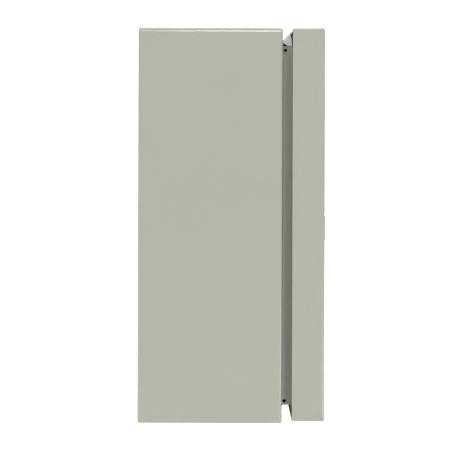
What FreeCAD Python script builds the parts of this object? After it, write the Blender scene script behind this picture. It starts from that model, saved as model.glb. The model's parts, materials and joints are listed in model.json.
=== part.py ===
"""Wall-mounted switchboard cabinet: a folded sheet-steel box with a flanged, gasketed door on two
concealed hinges, a quarter-turn cam lock, and a mounting plate that carries a switch, four circuit
breakers and the neutral and earth bars.

Millimetres. +Z is up and the door faces -Y. The origin is the centre of the four wall fixing holes,
on the outer face of the rear panel. Seen from the front, the hinges are on the right (+X) and the
lock is on the left (-X).
"""

import FreeCAD
import Part

import math
import os

V = FreeCAD.Vector

# ---- driving dimensions ---------------------------------------------------------------------
WIDTH = 250.0  # across the cabinet, outside
HEIGHT = 300.0
BODY_DEPTH = 109.3  # rear face to the front of the folded box
DOOR_GAP = 7.7  # open gap between the box and the door's flange
DOOR_DEPTH = 24.5  # depth of the door's folded flange
SHEET = 1.2  # sheet-steel thickness of box and door

WRAP_BEND = 3.0  # outer bend radius along the four long corners of the box
FRONT_BEND = 1.6  # outer bend radius where a wall turns in to its front flange
REAR_ROUND = 1.0
LIP_INSET = 13.0  # outside of the box to the outside of the sealing lip
LIP_BEND = 1.5  # inside bend radius where the flange turns forward into the lip
DOOR_INSET = 1.0  # the door is this much smaller than the box on each side
DOOR_BEND = 1.4
DOOR_CORNER = 0.6  # the welded corners are ground almost square
DOOR_LIFT = 0.6  # the door hangs this much high, so its top is nearly level with the box

GASKET_WIDTH = 10.0
GASKET_THICK = 4.0
SEAL_CLEAR = 0.3  # lip to gasket

GUTTER_ROOT_DROP = 8.8  # top of the box to the root of the sloping rain gutter
GUTTER_REACH = 7.0  # how far the 45 degree gutter runs forward
GUTTER_LEG = 2.6

HINGE_X = 118.5
HINGE_Y = -118.0
HINGE_Z = 95.0  # hinge centres above and below the middle
KNUCKLE_R = 3.5
KNUCKLE_HALF = 6.0
HINGE_PIN_R = 2.0
PIN_CLEAR = 0.05

LOCK_X = -85.0
LOCK_BARREL_R = 9.9
SPINDLE_R = 6.0

WALL_HOLE_R = 4.25
WALL_HOLE_X = 103.0
WALL_HOLE_Z = 128.0

PLATE_HALF_W = 95.0
PLATE_HALF_H = 120.0
PLATE_THICK = 1.5
PLATE_STANDOFF = 11.0  # rear face of the cabinet to the back of the mounting plate
PLATE_STUD_X = 85.0
PLATE_STUD_Z = 110.0

RAIL_Z = 32.0  # centre line of the top-hat rail
RAIL_HALF_LENGTH = 88.0
MODULE = 17.5  # one breaker module
MODULE_CLEAR = 0.1
FIRST_MODULE_X = -52.5  # left side of the main switch
LEVER_SWING = 76.0  # degrees, as the record states

BAR_HALF_LENGTH = 45.0
NEUTRAL_Z = -52.0
EARTH_Z = -88.0
BAR_SCREWS = 10
BAR_PITCH = 8.4

M6_R = 3.0

# ---- planes worked out from them -------------------------------------------------------------
HALF_W = WIDTH / 2
HALF_H = HEIGHT / 2
BODY_FRONT = -BODY_DEPTH
DOOR_REAR = BODY_FRONT - DOOR_GAP
DOOR_FRONT = DOOR_REAR - DOOR_DEPTH
DOOR_INNER = DOOR_FRONT + SHEET
GASKET_FACE = DOOR_INNER + GASKET_THICK
LIP_TIP = GASKET_FACE + SEAL_CLEAR
LIP_HALF_W = HALF_W - LIP_INSET
LIP_HALF_H = HALF_H - LIP_INSET
DOOR_HALF_W = HALF_W - DOOR_INSET
DOOR_HALF_H = HALF_H - DOOR_INSET
REAR_INNER = -SHEET
PLATE_BACK = -PLATE_STANDOFF
PLATE_FRONT = PLATE_BACK - PLATE_THICK


# ---- shape helpers ---------------------------------------------------------------------------
def block(x0, x1, y0, y1, z0, z1):
    """A box between two corners, given in either order."""
    low = V(min(x0, x1), min(y0, y1), min(z0, z1))
    return Part.makeBox(abs(x1 - x0), abs(y1 - y0), abs(z1 - z0), low)


def rod(radius, start, end):
    """A cylinder from one point to another."""
    axis = V(*end) - V(*start)
    return Part.makeCylinder(radius, axis.Length, V(*start), axis)


def tube(outer, inner, start, end):
    return rod(outer, start, end).cut(rod(inner, start, end))


def hexagon(across_flats, start, end):
    """A hexagonal bar from one point to another, its flats facing along a row axis."""
    axis = V(*end) - V(*start)
    corner = across_flats / math.sqrt(3)
    side = V(0, 0, 1) if abs(axis.z) < 0.5 * axis.Length else V(1, 0, 0)
    other = axis.cross(side).normalize()
    points = []
    for i in range(7):
        angle = math.radians(60 * i)
        points.append(V(*start) + side * (corner * math.cos(angle)) + other * (corner * math.sin(angle)))
    return Part.Face(Part.makePolygon(points)).extrude(axis)


def nut(across_flats, bore, start, end):
    """A hexagon nut with its corners turned down at both ends."""
    axis = V(*end) - V(*start)
    length = axis.Length
    corner = across_flats / math.sqrt(3)
    turned = Part.makeCylinder(corner, length, V(*start), axis)
    turned = turned.makeChamfer(0.12 * length, round_edges(turned, corner))
    return hexagon(across_flats, start, end).common(turned).cut(rod(bore, start, end))


def prism_x(points_yz, x0, x1):
    """A side outline of (y, z) points, extruded across the cabinet."""
    wire = Part.makePolygon([V(x0, y, z) for y, z in points_yz + points_yz[:1]])
    return Part.Face(wire).extrude(V(x1 - x0, 0, 0))


def rounded_prism(half_w, half_h, radius, y0, y1):
    """A rectangle with rounded corners, extruded from front to back."""
    body = block(-half_w, half_w, y0, y1, -half_h, half_h)
    return body.makeFillet(radius, edges_along(body, V(0, 1, 0)))


def edges_along(shape, direction):
    """The straight edges that run along a direction."""
    found = []
    for edge in shape.Edges:
        if edge.Curve.TypeId == "Part::GeomLine" and abs(edge.Curve.Direction.dot(direction)) > 0.999:
            found.append(edge)
    return found


def round_edges(shape, radius):
    """The circular edges of one radius."""
    found = []
    for edge in shape.Edges:
        if edge.Curve.TypeId == "Part::GeomCircle" and abs(edge.Curve.Radius - radius) < 1e-6:
            found.append(edge)
    return found


def edges_in_plane_y(shape, y):
    """The edges that lie wholly in one plane facing front or back."""
    found = []
    for edge in shape.Edges:
        if abs(edge.BoundBox.YMin - y) < 1e-6 and abs(edge.BoundBox.YMax - y) < 1e-6:
            found.append(edge)
    return found


def join(shapes):
    """One clean solid out of shapes that touch or overlap."""
    whole = shapes[0].fuse(shapes[1:]) if len(shapes) > 1 else shapes[0]
    return whole.removeSplitter()


def corners(x, z):
    """The four corners of a rectangle about the middle of the rear face."""
    return [(sx * x, sz * z) for sx in (-1, 1) for sz in (-1, 1)]


# ---- sheet-metal box -------------------------------------------------------------------------
GLAND_X = 60.0  # half the bottom opening's length
GLAND_Y = -55.0  # middle of the bottom opening
GLAND_HALF = 30.0
GLAND_MARGIN = 10.0  # how far the gland plate laps the opening
RELIEF_R = 1.3
RELIEF_DROP = 3.0
RELIEF_REACH = 2.2


def cabinet_shell():
    """Four walls in one wrap, a flange turned in at the front and a lip that meets the door's seal."""
    outer = rounded_prism(HALF_W, HALF_H, WRAP_BEND, BODY_FRONT, 0)
    outer = outer.makeFillet(FRONT_BEND, edges_in_plane_y(outer, BODY_FRONT))
    outer = outer.makeFillet(REAR_ROUND, edges_in_plane_y(outer, 0))
    inner_w, inner_h = HALF_W - SHEET, HALF_H - SHEET
    cavity = rounded_prism(inner_w, inner_h, WRAP_BEND - SHEET, BODY_FRONT + SHEET, 0)
    cavity = cavity.makeFillet(FRONT_BEND - SHEET, edges_in_plane_y(cavity, BODY_FRONT + SHEET))
    lip = block(-LIP_HALF_W, LIP_HALF_W, LIP_TIP, BODY_FRONT + SHEET / 2, -LIP_HALF_H, LIP_HALF_H)
    mouth_w, mouth_h = LIP_HALF_W - SHEET, LIP_HALF_H - SHEET
    mouth = block(-mouth_w, mouth_w, LIP_TIP - 1, BODY_FRONT + 2 * SHEET, -mouth_h, mouth_h)
    shell = join([outer.cut(cavity), lip])
    shell = shell.makeFillet(LIP_BEND, lip_root_edges(shell)).cut(mouth)
    opening = block(-GLAND_X, GLAND_X, GLAND_Y - GLAND_HALF, GLAND_Y + GLAND_HALF, -HALF_H - 1, -inner_h + 1)
    shell = shell.cut(opening.makeFillet(4.0, edges_along(opening, V(0, 0, 1))))
    relief_y = BODY_FRONT - RELIEF_REACH
    for x, z in corners(LIP_HALF_W, LIP_HALF_H - RELIEF_DROP):
        shell = shell.cut(rod(RELIEF_R, (x - 2, relief_y, z), (x + 2, relief_y, z)))
    for x, y in gland_screw_places():
        shell = shell.cut(rod(GLAND_SCREW_R + 0.1, (x, y, -HALF_H - 1), (x, y, -HALF_H + 2)))
    return shell


def lip_root_edges(shell):
    """The edges where the lip stands on the front flange."""
    found = []
    for edge in edges_in_plane_y(shell, BODY_FRONT):
        middle = edge.CenterOfMass
        on_side = abs(abs(middle.x) - LIP_HALF_W) < 1e-6 and abs(middle.z) < LIP_HALF_H
        on_end = abs(abs(middle.z) - LIP_HALF_H) < 1e-6 and abs(middle.x) < LIP_HALF_W
        if on_side or on_end:
            found.append(edge)
    return found


def rear_panel():
    """Flat sheet welded flush into the back of the wrap, with the wall fixing holes."""
    panel = rounded_prism(HALF_W - SHEET, HALF_H - SHEET, WRAP_BEND - SHEET, REAR_INNER, 0)
    for x, z in corners(WALL_HOLE_X, WALL_HOLE_Z):
        panel = panel.cut(rod(WALL_HOLE_R, (x, -5, z), (x, 5, z)))
    return panel


def rain_gutter():
    """Strip above the top lip: a short leg on the front flange and a 45 degree slope that sheds water."""
    root_z = HALF_H - GUTTER_ROOT_DROP
    tip_y, tip_z = BODY_FRONT - GUTTER_REACH, root_z + GUTTER_REACH
    slant = SHEET / math.sqrt(2)
    leg_y = BODY_FRONT - SHEET
    inner_bend_z = root_z - SHEET * (math.sqrt(2) - 1)
    outline = [
        (BODY_FRONT, root_z - GUTTER_LEG),
        (BODY_FRONT, root_z),
        (tip_y, tip_z),
        (tip_y - slant, tip_z - slant),
        (leg_y, inner_bend_z),
        (leg_y, root_z - GUTTER_LEG),
    ]
    return prism_x(outline, -LIP_HALF_W, LIP_HALF_W)


def gutter_end_plug(side):
    """Moulded seal that closes one end of the channel between the rain gutter and the top lip."""
    z0 = LIP_HALF_H
    outline = [
        (BODY_FRONT - 0.2, z0 + 2.6), (BODY_FRONT - 0.2, z0 + 4.0), (BODY_FRONT - 5.6, z0 + 9.4),
        (BODY_FRONT - 6.4, z0 + 7.2), (BODY_FRONT - 7.1, z0 + 4.0), (BODY_FRONT - 7.2, z0),
        (BODY_FRONT - 4.6, z0), (BODY_FRONT - 2.6, z0 + 0.9), (BODY_FRONT - 1.4, z0 + 2.2),
    ]
    inner, outer = side * (LIP_HALF_W - 9.0), side * (LIP_HALF_W + 1.0)
    return prism_x(outline, inner, outer).cut(rain_gutter())


# ---- cable entry in the bottom ---------------------------------------------------------------
GLAND_SCREW_R = 2.0
GLAND_GASKET = 1.5
GLAND_THICK = 1.5
GROMMET_X = (-38.0, 0.0, 38.0)
GROMMET_HOLE_R = 11.0
GLAND_TOP = -HALF_H - GLAND_GASKET
GLAND_BOTTOM = GLAND_TOP - GLAND_THICK


def gland_screw_places():
    reach_x = GLAND_X + GLAND_MARGIN / 2
    reach_y = GLAND_HALF + GLAND_MARGIN / 2
    return [(sx * reach_x, GLAND_Y + sy * reach_y) for sx in (-1, 1) for sy in (-1, 1)]


def gland_sheet(z0, z1):
    """The outline that the gland plate and its gasket share."""
    half_x, half_y = GLAND_X + GLAND_MARGIN, GLAND_HALF + GLAND_MARGIN
    sheet = block(-half_x, half_x, GLAND_Y - half_y, GLAND_Y + half_y, z0, z1)
    sheet = sheet.makeFillet(4.0, edges_along(sheet, V(0, 0, 1)))
    for x, y in gland_screw_places():
        sheet = sheet.cut(rod(GLAND_SCREW_R + 0.1, (x, y, z0 - 1), (x, y, z1 + 1)))
    return sheet


def gland_gasket():
    frame = gland_sheet(GLAND_TOP, -HALF_H)
    return frame.cut(block(-GLAND_X, GLAND_X, GLAND_Y - GLAND_HALF, GLAND_Y + GLAND_HALF, -200, 0))


def gland_plate():
    plate = gland_sheet(GLAND_BOTTOM, GLAND_TOP)
    for x in GROMMET_X:
        plate = plate.cut(rod(GROMMET_HOLE_R, (x, GLAND_Y, -200), (x, GLAND_Y, 0)))
    return plate


def gland_screws():
    """Four pan-head screws that hold the gland plate up against the bottom wall."""
    head_r, head_h, shank_end = 3.8, 2.2, -HALF_H + 7
    screws = []
    for x, y in gland_screw_places():
        head = rod(head_r, (x, y, GLAND_BOTTOM - head_h), (x, y, GLAND_BOTTOM))
        head = head.makeFillet(0.8, [e for e in round_edges(head, head_r) if e.BoundBox.ZMax < GLAND_BOTTOM - 1])
        slot = block(x - 0.5, x + 0.5, y - 2.4, y + 2.4, GLAND_BOTTOM - head_h - 1, GLAND_BOTTOM - head_h + 1.1)
        cross = block(x - 2.4, x + 2.4, y - 0.5, y + 0.5, GLAND_BOTTOM - head_h - 1, GLAND_BOTTOM - head_h + 1.1)
        shank = rod(GLAND_SCREW_R, (x, y, GLAND_BOTTOM), (x, y, shank_end))
        screws.append(join([head, shank]).cut(slot).cut(cross))
    return Part.makeCompound(screws)


def cable_grommet(x):
    """Rubber membrane grommet: two flanges round the plate's hole and a stepped, closed cone."""
    # (radius, height below the plate's underside), from the rim of the upper flange to the cone's tip
    upper, lower, wall = 1.6, 2.2, 1.0
    top, under = GLAND_TOP + upper, GLAND_BOTTOM - lower
    profile = [
        (0, under - 2.2), (4.0, under - 2.2), (4.6, under - 1.1), (7.4, under - 1.1), (8.0, under),
        (14.0, under), (14.0, GLAND_BOTTOM), (GROMMET_HOLE_R, GLAND_BOTTOM), (GROMMET_HOLE_R, GLAND_TOP),
        (13.0, GLAND_TOP), (11.6, top), (8.6, top), (8.6, under + wall), (7.0, under + wall - 1.1),
        (4.0, under + wall - 1.1), (3.4, under + wall - 2.2), (0, under + wall - 2.2),
    ]
    wire = Part.makePolygon([V(x + r, GLAND_Y, z) for r, z in profile + profile[:1]])
    return Part.Face(wire).revolve(V(x, GLAND_Y, 0), V(0, 0, 1), 360)


# ---- concealed hinges ------------------------------------------------------------------------
LEAF = 1.5
EAR_LENGTH = 7.0
EAR_CLEAR = 0.3
ARM_DEPTH = 3.5


def hinge_bore(middle):
    low, high = middle - 30, middle + 30
    return rod(HINGE_PIN_R + PIN_CLEAR, (HINGE_X, HINGE_Y, low), (HINGE_X, HINGE_Y, high))


def hinge_fixed_leaf(middle):
    """Leaf welded to the right-hand lip, with one knuckle."""
    low, high = middle - KNUCKLE_HALF, middle + KNUCKLE_HALF
    leaf = block(LIP_HALF_W, LIP_HALF_W + LEAF, HINGE_Y - 8, BODY_FRONT - 2, middle - 15, middle + 15)
    leaf = leaf.makeFillet(3.0, edges_along(leaf, V(1, 0, 0)))
    arm = block(LIP_HALF_W, HINGE_X, HINGE_Y - ARM_DEPTH, HINGE_Y, low, high)
    knuckle = rod(KNUCKLE_R, (HINGE_X, HINGE_Y, low), (HINGE_X, HINGE_Y, high))
    return join([leaf, arm, knuckle]).cut(hinge_bore(middle))


def hinge_door_leaf(middle):
    """Leaf welded inside the door's flange, with an ear above and below the fixed knuckle."""
    flange_x = DOOR_HALF_W - SHEET
    inner = KNUCKLE_HALF + EAR_CLEAR
    outer = inner + EAR_LENGTH
    pieces = [block(flange_x - LEAF, flange_x, HINGE_Y - 16, HINGE_Y - ARM_DEPTH, middle - outer, middle + outer)]
    for side in (-1, 1):
        near, far = middle + side * inner, middle + side * outer
        pieces.append(block(HINGE_X, flange_x, HINGE_Y - ARM_DEPTH, HINGE_Y, near, far))
        pieces.append(rod(KNUCKLE_R, (HINGE_X, HINGE_Y, near), (HINGE_X, HINGE_Y, far)))
    return join(pieces).cut(hinge_bore(middle))


def hinge_pin(middle):
    """Pin with a turned head on top and a groove for its clip below."""
    reach = KNUCKLE_HALF + EAR_CLEAR + EAR_LENGTH
    pin = rod(HINGE_PIN_R, (HINGE_X, HINGE_Y, middle - reach - 2.4), (HINGE_X, HINGE_Y, middle + reach + 1.6))
    head = rod(3.3, (HINGE_X, HINGE_Y, middle + reach + 0.2), (HINGE_X, HINGE_Y, middle + reach + 1.6))
    groove_top = middle - reach - 0.5
    groove = tube(3.0, 1.5, (HINGE_X, HINGE_Y, groove_top - 0.8), (HINGE_X, HINGE_Y, groove_top))
    return join([pin, head]).cut(groove)


def hinge_pin_clips():
    """One spring clip under each hinge, open towards the front."""
    clips = []
    for middle in (HINGE_Z, -HINGE_Z):
        top = middle - KNUCKLE_HALF - EAR_CLEAR - EAR_LENGTH - 0.55
        ring = tube(3.6, 1.55, (HINGE_X, HINGE_Y, top - 0.7), (HINGE_X, HINGE_Y, top))
        mouth = block(HINGE_X - 1.2, HINGE_X + 1.2, HINGE_Y - 5, HINGE_Y, top - 2, top + 2)
        clips.append(ring.cut(mouth))
    return Part.makeCompound(clips)


# ---- door ------------------------------------------------------------------------------------
MITRE_LENGTH = 6.0
MITRE_WIDTH = 0.6
MITRE_DEPTH = 0.5


def lock_flats(reach, y0, y1):
    """The slab that cuts two flats on the lock's barrel and on its hole."""
    return block(LOCK_X - 20, LOCK_X + 20, y0, y1, -reach, reach)


def door_shell():
    """Flat front with four flanges folded back, pierced for the lock."""
    outer = rounded_prism(DOOR_HALF_W, DOOR_HALF_H, DOOR_CORNER, DOOR_FRONT, DOOR_REAR)
    outer = outer.makeFillet(DOOR_BEND, edges_in_plane_y(outer, DOOR_FRONT))
    inner_w, inner_h = DOOR_HALF_W - SHEET, DOOR_HALF_H - SHEET
    shell = outer.cut(rounded_prism(inner_w, inner_h, DOOR_CORNER, DOOR_INNER, DOOR_REAR + 1))
    for side in (-1, 1):
        shell = shell.cut(mitre_groove(side))
    shell.translate(V(0, 0, DOOR_LIFT))
    hole = rod(LOCK_BARREL_R + 0.1, (LOCK_X, DOOR_FRONT - 1, 0), (LOCK_X, DOOR_INNER + 1, 0))
    return shell.cut(hole.common(lock_flats(LOCK_BARREL_R - 0.9, DOOR_FRONT - 2, DOOR_INNER + 2)))


def mitre_groove(side):
    """The closed seam that shows where a side flange meets the bottom fold at a front corner."""
    x = side * DOOR_HALF_W
    groove = block(x - MITRE_DEPTH, x + MITRE_DEPTH, 0, MITRE_LENGTH, -MITRE_WIDTH / 2, MITRE_WIDTH / 2)
    groove.rotate(V(x, 0, 0), V(1, 0, 0), 52)
    groove.translate(V(0, DOOR_FRONT + 0.7, -DOOR_HALF_H + 0.9))
    return groove


def door_gasket():
    """Foam seal on the door's inner face, lined up with the lip."""
    mid_w, mid_h = LIP_HALF_W - SHEET / 2, LIP_HALF_H - SHEET / 2
    half = GASKET_WIDTH / 2
    outer = rounded_prism(mid_w + half, mid_h + half, 8.0, DOOR_INNER, GASKET_FACE)
    outer = outer.makeFillet(1.5, edges_in_plane_y(outer, GASKET_FACE))
    return outer.cut(rounded_prism(mid_w - half, mid_h - half, 3.0, DOOR_INNER - 1, GASKET_FACE + 1))


# ---- cam lock --------------------------------------------------------------------------------
LOCK_FLANGE_R = 12.0
LOCK_FLANGE = 1.2
LOCK_SEAL = 0.4
BARREL_END = DOOR_FRONT + 20.0
CAM_THICK = 2.5
CAM_WIDTH = 14.0
CAM_REACH = 36.0
CAM_FRONT = BARREL_END + 0.1
CAM_BACK = CAM_FRONT + CAM_THICK
TONGUE_FRONT = BODY_FRONT + SHEET + 0.9  # just behind the box's front flange when it is turned home
SQUARE = 7.0


def lock_housing():
    """Barrel with a round flange outside the door and two flats that stop it turning."""
    flange_front = DOOR_FRONT - LOCK_SEAL - LOCK_FLANGE
    flange = rod(LOCK_FLANGE_R, (LOCK_X, flange_front, 0), (LOCK_X, DOOR_FRONT - LOCK_SEAL, 0))
    rim = [e for e in round_edges(flange, LOCK_FLANGE_R) if e.BoundBox.YMax < flange_front + 0.1]
    flange = flange.makeFillet(0.8, rim)
    barrel = rod(LOCK_BARREL_R, (LOCK_X, DOOR_FRONT - LOCK_SEAL, 0), (LOCK_X, BARREL_END, 0))
    barrel = barrel.common(lock_flats(LOCK_BARREL_R - 1.0, DOOR_FRONT - 5, BARREL_END + 5))
    bore = rod(SPINDLE_R + PIN_CLEAR, (LOCK_X, flange_front - 1, 0), (LOCK_X, BARREL_END + 1, 0))
    return join([flange, barrel]).cut(bore)


def lock_seal():
    return tube(LOCK_FLANGE_R - 0.6, LOCK_BARREL_R + 0.1, (LOCK_X, DOOR_FRONT - LOCK_SEAL, 0), (LOCK_X, DOOR_FRONT, 0))


def lock_nut():
    return nut(24.0, LOCK_BARREL_R + 0.05, (LOCK_X, DOOR_INNER, 0), (LOCK_X, DOOR_INNER + 4.0, 0))


def lock_spindle():
    """Turning core with a double-bit key socket in front and a square for the cam behind."""
    face = DOOR_FRONT - LOCK_SEAL - LOCK_FLANGE + 0.3
    core = rod(SPINDLE_R, (LOCK_X, face, 0), (LOCK_X, CAM_FRONT, 0))
    square = block(LOCK_X - SQUARE / 2, LOCK_X + SQUARE / 2, CAM_FRONT, CAM_BACK - 0.2, -SQUARE / 2, SQUARE / 2)
    socket = rod(4.6, (LOCK_X, face - 1, 0), (LOCK_X, face + 9, 0))
    post = rod(1.7, (LOCK_X, face + 0.4, 0), (LOCK_X, face + 9, 0))
    bits = block(LOCK_X - 0.8, LOCK_X + 0.8, face + 0.4, face + 9, -3.4, 3.4)
    core = join([core, square]).cut(socket)
    core = join([core, post, bits])
    return core.cut(rod(2.5, (LOCK_X, CAM_BACK + 1, 0), (LOCK_X, CAM_FRONT - 7, 0)))


def lock_cam():
    """Cranked tongue. It hangs straight down when free and turns to the left to hold the door."""
    half = CAM_WIDTH / 2
    crank_near, crank_far = 9.5, 12.0
    hub = rod(8.0, (LOCK_X, CAM_FRONT, 0), (LOCK_X, CAM_BACK, 0))
    root = block(LOCK_X - half, LOCK_X + half, CAM_FRONT, CAM_BACK, 0, -crank_far)
    crank = block(LOCK_X - half, LOCK_X + half, CAM_FRONT, TONGUE_FRONT + CAM_THICK, -crank_near, -crank_far)
    tip_y = TONGUE_FRONT
    tongue = block(LOCK_X - half, LOCK_X + half, tip_y, tip_y + CAM_THICK, -crank_near, -CAM_REACH)
    ends = [e for e in edges_along(tongue, V(0, 1, 0)) if e.BoundBox.ZMax < -CAM_REACH + 1]
    tongue = tongue.makeFillet(4.5, ends)
    fit = SQUARE / 2 + 0.02
    hole = block(LOCK_X - fit, LOCK_X + fit, CAM_FRONT - 1, CAM_BACK + 1, -fit, fit)
    return join([hub, root, crank, tongue]).cut(hole)


def lock_cam_washer():
    return tube(7.0, 2.6, (LOCK_X, CAM_BACK, 0), (LOCK_X, CAM_BACK + 1.2, 0))


def lock_cam_screw():
    head = CAM_BACK + 1.2
    cap = nut(8.0, 0.9, (LOCK_X, head, 0), (LOCK_X, head + 3.5, 0))
    return join([cap, rod(2.5, (LOCK_X, CAM_FRONT - 6, 0), (LOCK_X, head + 2.4, 0))])


# ---- earth studs -----------------------------------------------------------------------------
EARTH_STUD_Y = -70.0
EARTH_STUD_Z = -120.0
EARTH_STUD_LENGTH = 15.0
DOOR_STUD_X = 92.0
DOOR_STUD_Z = -118.0
WASHER = 1.2
M6_NUT = 5.0
M6_FLATS = 10.0


def m6_washer(base, away):
    """A washer on a stud that stands at base and points along away."""
    return tube(6.0, M6_R + 0.2, base, tuple(V(*base) + away * WASHER))


def m6_nut(base, away):
    return nut(M6_FLATS, M6_R + 0.02, tuple(V(*base) + away * WASHER), tuple(V(*base) + away * (WASHER + M6_NUT)))


def m6_stud(base, away, length):
    stud = rod(M6_R, base, tuple(V(*base) + away * length))
    tip = V(*base) + away * length
    ends = [e for e in round_edges(stud, M6_R) if (e.CenterOfMass - tip).Length < 0.1]
    return stud.makeChamfer(0.6, ends)


# ---- mounting plate --------------------------------------------------------------------------
PLATE_RETURN = 6.5
RAIL_SCREW_X = 75.0
RAIL_SCREW_R = 2.5
SUPPORT_SCREW_R = 2.0


def mounting_plate():
    """Zinc-plated plate whose two long sides are turned back to stiffen it."""
    half_w, half_h = PLATE_HALF_W, PLATE_HALF_H
    plate = block(-half_w, half_w, PLATE_FRONT, PLATE_BACK, -half_h, half_h)
    plate = plate.makeFillet(3.0, edges_along(plate, V(0, 1, 0)))
    pieces = [plate]
    for side in (-1, 1):
        inner, outer = side * (half_w - PLATE_THICK), side * half_w
        pieces.append(block(inner, outer, PLATE_FRONT + 0.5, PLATE_BACK + PLATE_RETURN, -half_h + 4, half_h - 4))
    plate = join(pieces)
    for x, z in corners(PLATE_STUD_X, PLATE_STUD_Z):
        plate = plate.cut(rod(M6_R + 0.3, (x, -20, z), (x, 0, z)))
    for x in (-RAIL_SCREW_X, RAIL_SCREW_X):
        plate = plate.cut(rod(RAIL_SCREW_R, (x, -20, RAIL_Z), (x, 0, RAIL_Z)))
    for bar_z in (NEUTRAL_Z, EARTH_Z):
        for x in support_screw_places():
            plate = plate.cut(rod(SUPPORT_SCREW_R, (x, -20, bar_z), (x, 0, bar_z)))
    return plate


def at_plate_studs(make):
    """The same small part on each of the four mounting-plate studs."""
    return Part.makeCompound([make(x, z) for x, z in corners(PLATE_STUD_X, PLATE_STUD_Z)])


def plate_studs():
    return at_plate_studs(lambda x, z: m6_stud((x, REAR_INNER, z), V(0, -1, 0), 22.8))


def plate_spacers():
    return at_plate_studs(lambda x, z: tube(6.0, M6_R + 0.05, (x, REAR_INNER, z), (x, PLATE_BACK, z)))


def plate_washers():
    return at_plate_studs(lambda x, z: m6_washer((x, PLATE_FRONT, z), V(0, -1, 0)))


def plate_nuts():
    return at_plate_studs(lambda x, z: m6_nut((x, PLATE_FRONT, z), V(0, -1, 0)))


# ---- top-hat rail ----------------------------------------------------------------------------
RAIL_DEPTH = 7.5
RAIL_SHEET = 1.0
RAIL_FLANGE = 17.5  # half the rail's height over its flanges
RAIL_WEB = 13.5  # half the height over its webs
RAIL_FRONT = PLATE_FRONT - RAIL_DEPTH


def din_rail():
    """35 mm top-hat rail with a row of long holes along its base."""
    half = RAIL_HALF_LENGTH
    base = block(-half, half, PLATE_FRONT - RAIL_SHEET, PLATE_FRONT, RAIL_Z - RAIL_WEB, RAIL_Z + RAIL_WEB)
    pieces = [base]
    for side in (-1, 1):
        web, inner = RAIL_Z + side * RAIL_WEB, RAIL_Z + side * (RAIL_WEB - RAIL_SHEET)
        pieces.append(block(-half, half, RAIL_FRONT, PLATE_FRONT, inner, web))
        pieces.append(block(-half, half, RAIL_FRONT, RAIL_FRONT + RAIL_SHEET, inner, RAIL_Z + side * RAIL_FLANGE))
    rail = join(pieces)
    for i in range(-3, 4):
        rail = rail.cut(long_hole(25.0 * i, RAIL_Z, 15.0, 6.2))
    return rail


def long_hole(x, z, length, width):
    """A cutter for a hole with round ends, lying across the plate."""
    reach = (length - width) / 2
    y0, y1 = RAIL_FRONT - 1, PLATE_FRONT + 1
    ends = [rod(width / 2, (x + s * reach, y0, z), (x + s * reach, y1, z)) for s in (-1, 1)]
    return join([block(x - reach, x + reach, y0, y1, z - width / 2, z + width / 2)] + ends)


def plate_screw(x, z, radius, head_r, head_h, seat, end):
    """A cross-head screw driven towards the wall, its head resting on the plane y = seat."""
    head = rod(head_r, (x, seat - head_h, z), (x, seat, z))
    head = head.makeFillet(head_h * 0.4, [e for e in round_edges(head, head_r) if e.BoundBox.YMax < seat - 0.1])
    front = seat - head_h
    arm = head_r * 0.6
    cross = block(x - arm, x + arm, front - 1, front + head_h * 0.5, z - 0.45, z + 0.45)
    other = block(x - 0.45, x + 0.45, front - 1, front + head_h * 0.5, z - arm, z + arm)
    return join([head, rod(radius, (x, seat, z), (x, end, z))]).cut(cross).cut(other)


def din_rail_screws():
    seat = PLATE_FRONT - RAIL_SHEET
    places = (-RAIL_SCREW_X, RAIL_SCREW_X)
    return Part.makeCompound([plate_screw(x, RAIL_Z, RAIL_SCREW_R, 4.7, 3.0, seat, PLATE_BACK + 4) for x in places])


def rail_end_stop(side):
    """Clamp that keeps the row of devices from sliding along the rail."""
    inner = FIRST_MODULE_X - 0.2
    x0, x1 = (inner - 8.0, inner) if side < 0 else (-inner, -inner + 8.0)
    front, back = RAIL_FRONT - 22, RAIL_FRONT + 3.4
    stop = block(x0, x1, front, back, RAIL_Z - 23, RAIL_Z + 23)
    stop = stop.makeFillet(2.0, [e for e in edges_along(stop, V(1, 0, 0)) if e.BoundBox.YMax < front + 1])
    stop = stop.cut(rail_recess(x0, x1, back))
    middle = (x0 + x1) / 2
    return stop.cut(rod(2.6, (middle, front - 1, RAIL_Z), (middle, front + 10, RAIL_Z)))


def rail_recess(x0, x1, back):
    """The space behind a device that takes the rail, leaving a hook behind each flange."""
    slot = block(x0 - 1, x1 + 1, RAIL_FRONT, RAIL_FRONT + 1.2, RAIL_Z - 17.7, RAIL_Z + 17.7)
    throat = block(x0 - 1, x1 + 1, RAIL_FRONT, back + 1, RAIL_Z - 15.6, RAIL_Z + 15.6)
    return join([slot, throat])


# ---- main switch and circuit breakers --------------------------------------------------------
CASE_HALF_H = 40.0
SHOULDER = 44.0  # rail to the shoulder that carries the terminals
NOSE = 60.0  # rail to the front of the nose
NOSE_HALF_H = 22.5
DRUM_DEPTH = 55.0  # rail to the lever's axis
DRUM_R = 8.0
DRUM_CLEAR = 0.4
LEVER_TIP = 16.0
TERMINAL_Z = 31.0
TERMINAL_R = 3.3
LEVER_AXIS_Y = RAIL_FRONT - DRUM_DEPTH


def case_span(first, modules):
    """The two sides of a device that starts at module place first."""
    x0 = FIRST_MODULE_X + MODULE * first
    return x0 + MODULE_CLEAR / 2, x0 + MODULE * modules - MODULE_CLEAR / 2


def pole_centres(first, modules):
    return [FIRST_MODULE_X + MODULE * (first + i + 0.5) for i in range(modules)]


def lever_span(first, modules):
    """The two sides of the lever, centred on its device."""
    middle = FIRST_MODULE_X + MODULE * (first + modules / 2)
    half = 4.4 if modules == 1 else 13.0
    return middle - half, middle + half


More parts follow.
